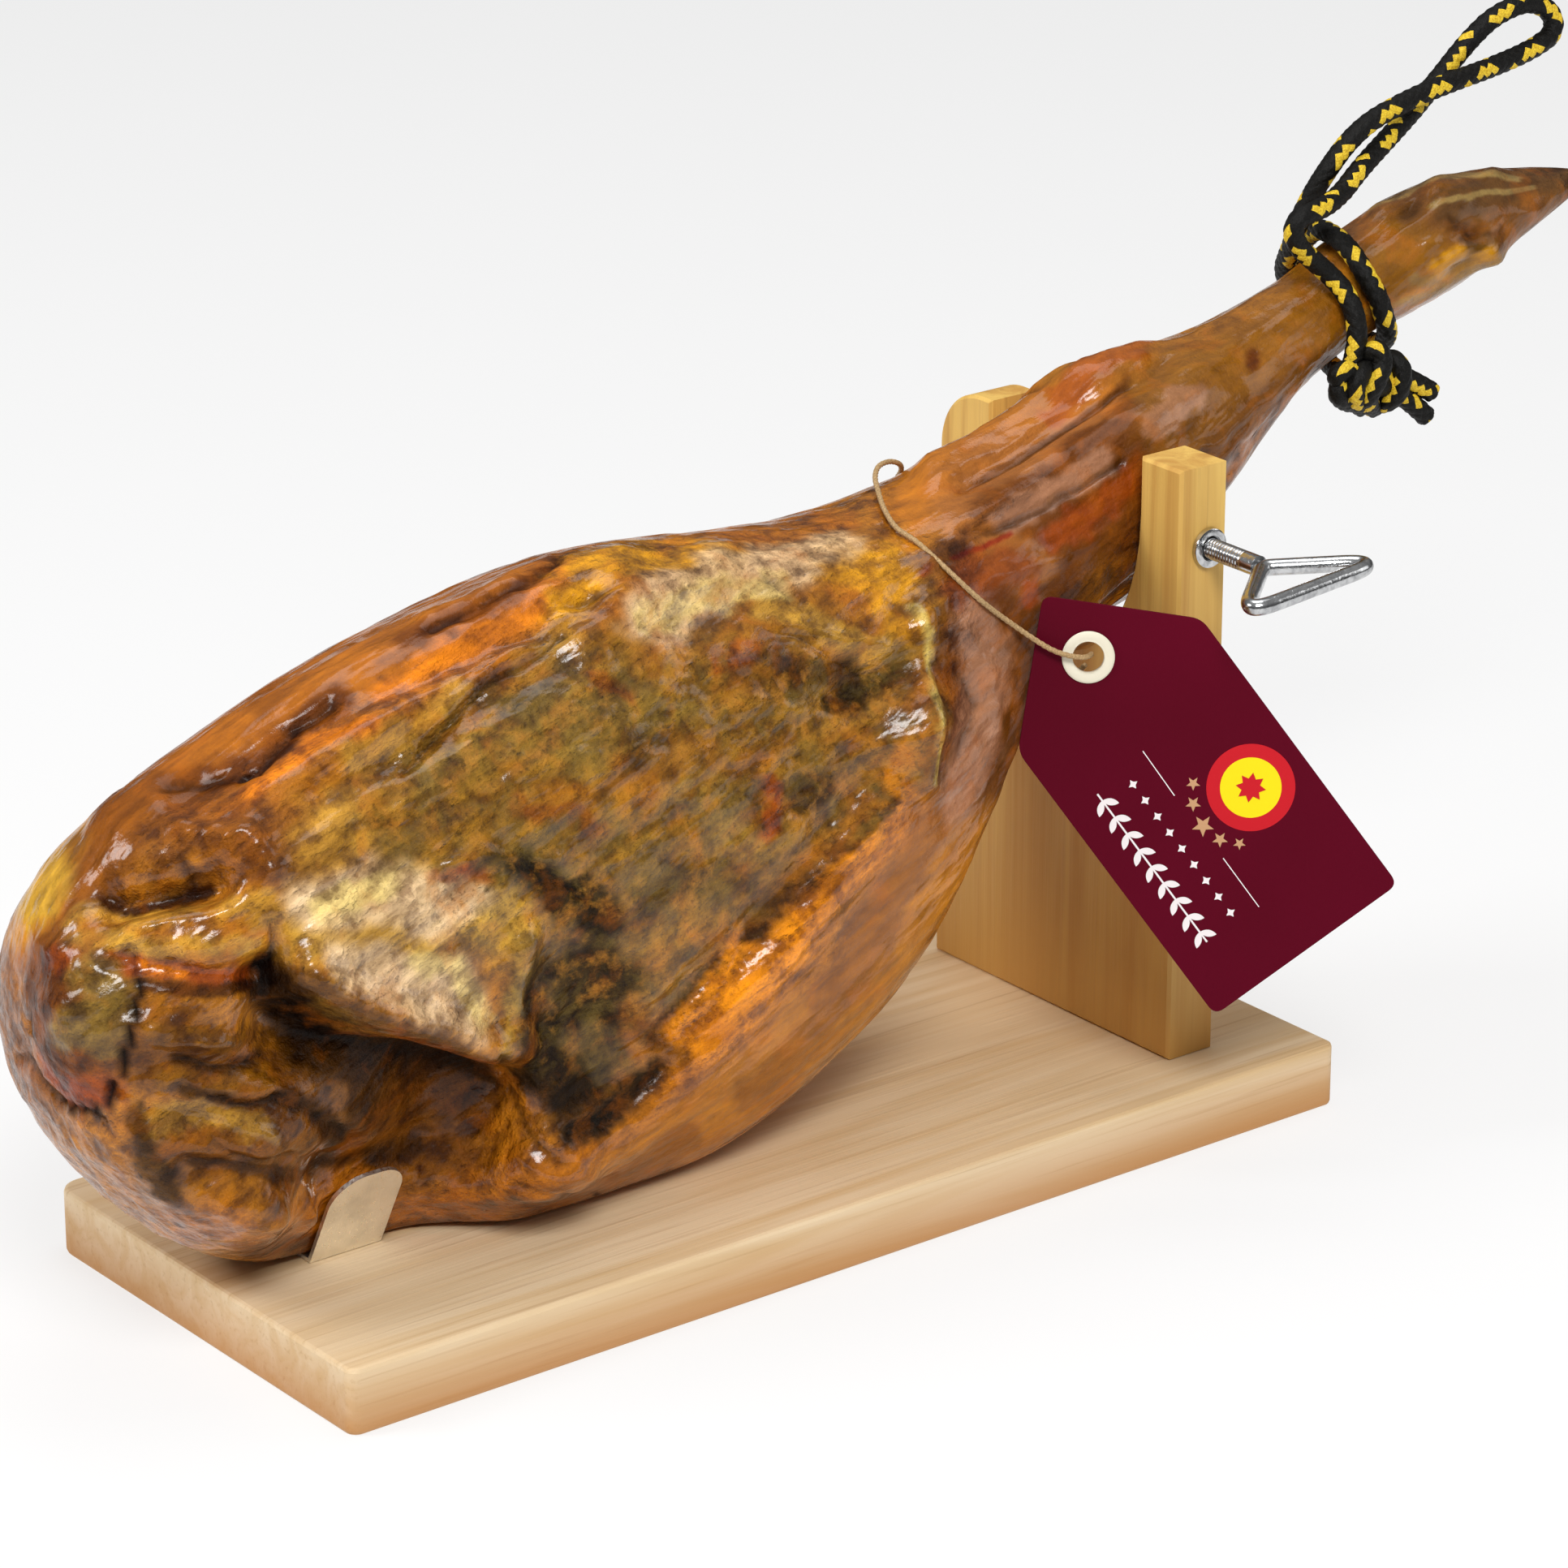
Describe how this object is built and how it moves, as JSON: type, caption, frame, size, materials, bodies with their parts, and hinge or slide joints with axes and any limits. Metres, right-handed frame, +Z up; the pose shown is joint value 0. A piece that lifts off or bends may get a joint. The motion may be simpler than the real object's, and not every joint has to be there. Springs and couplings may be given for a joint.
{
  "type": "cured ham on a wooden holder",
  "caption": "Whole cured ham resting on a pine board and notched upright, held by a steel bracket and a clamp screw, with a hanging rope and a card tag.",
  "frame": {"origin": "centre of the board's underside", "axes": "+X along the board towards the foot, -Y the shown side, +Z up"},
  "size_m": [0.7281, 0.244, 0.3862],
  "materials": {
    "pine": "satin",
    "steel": "satin",
    "zinc": "gloss",
    "ham": "gloss",
    "card": "satin",
    "eyelet": "satin",
    "string": "matte",
    "rope": "matte"
  },
  "bodies": {
    "stand": {"base_board": "pine", "upright": "pine", "ham_bracket": "steel", "clamp_insert": "zinc", "ham": "ham", "tag": "card", "tag_eyelet": "eyelet", "tag_string": "string", "rope": "rope", "rope_knot": "rope"},
    "screw": {"clamp_shank": "zinc"},
    "handle": {"clamp_handle": "zinc"}
  },
  "joints": [
    {"name": "screw_slide", "type": "slide", "parent": "stand", "child": "screw", "axis": [0, -1, 0], "range_m": [0, 0.0147]},
    {"name": "handle_turn", "type": "hinge", "parent": "screw", "child": "handle", "pos_m": [0.1765, -0.098, 0.2265], "axis": [0, -1, 0], "range_deg": [0, 3510]}
  ],
  "couplings": [
    {"joint": "screw_slide", "follows": "handle_turn", "m_per_rad": 0.00023873}
  ]
}
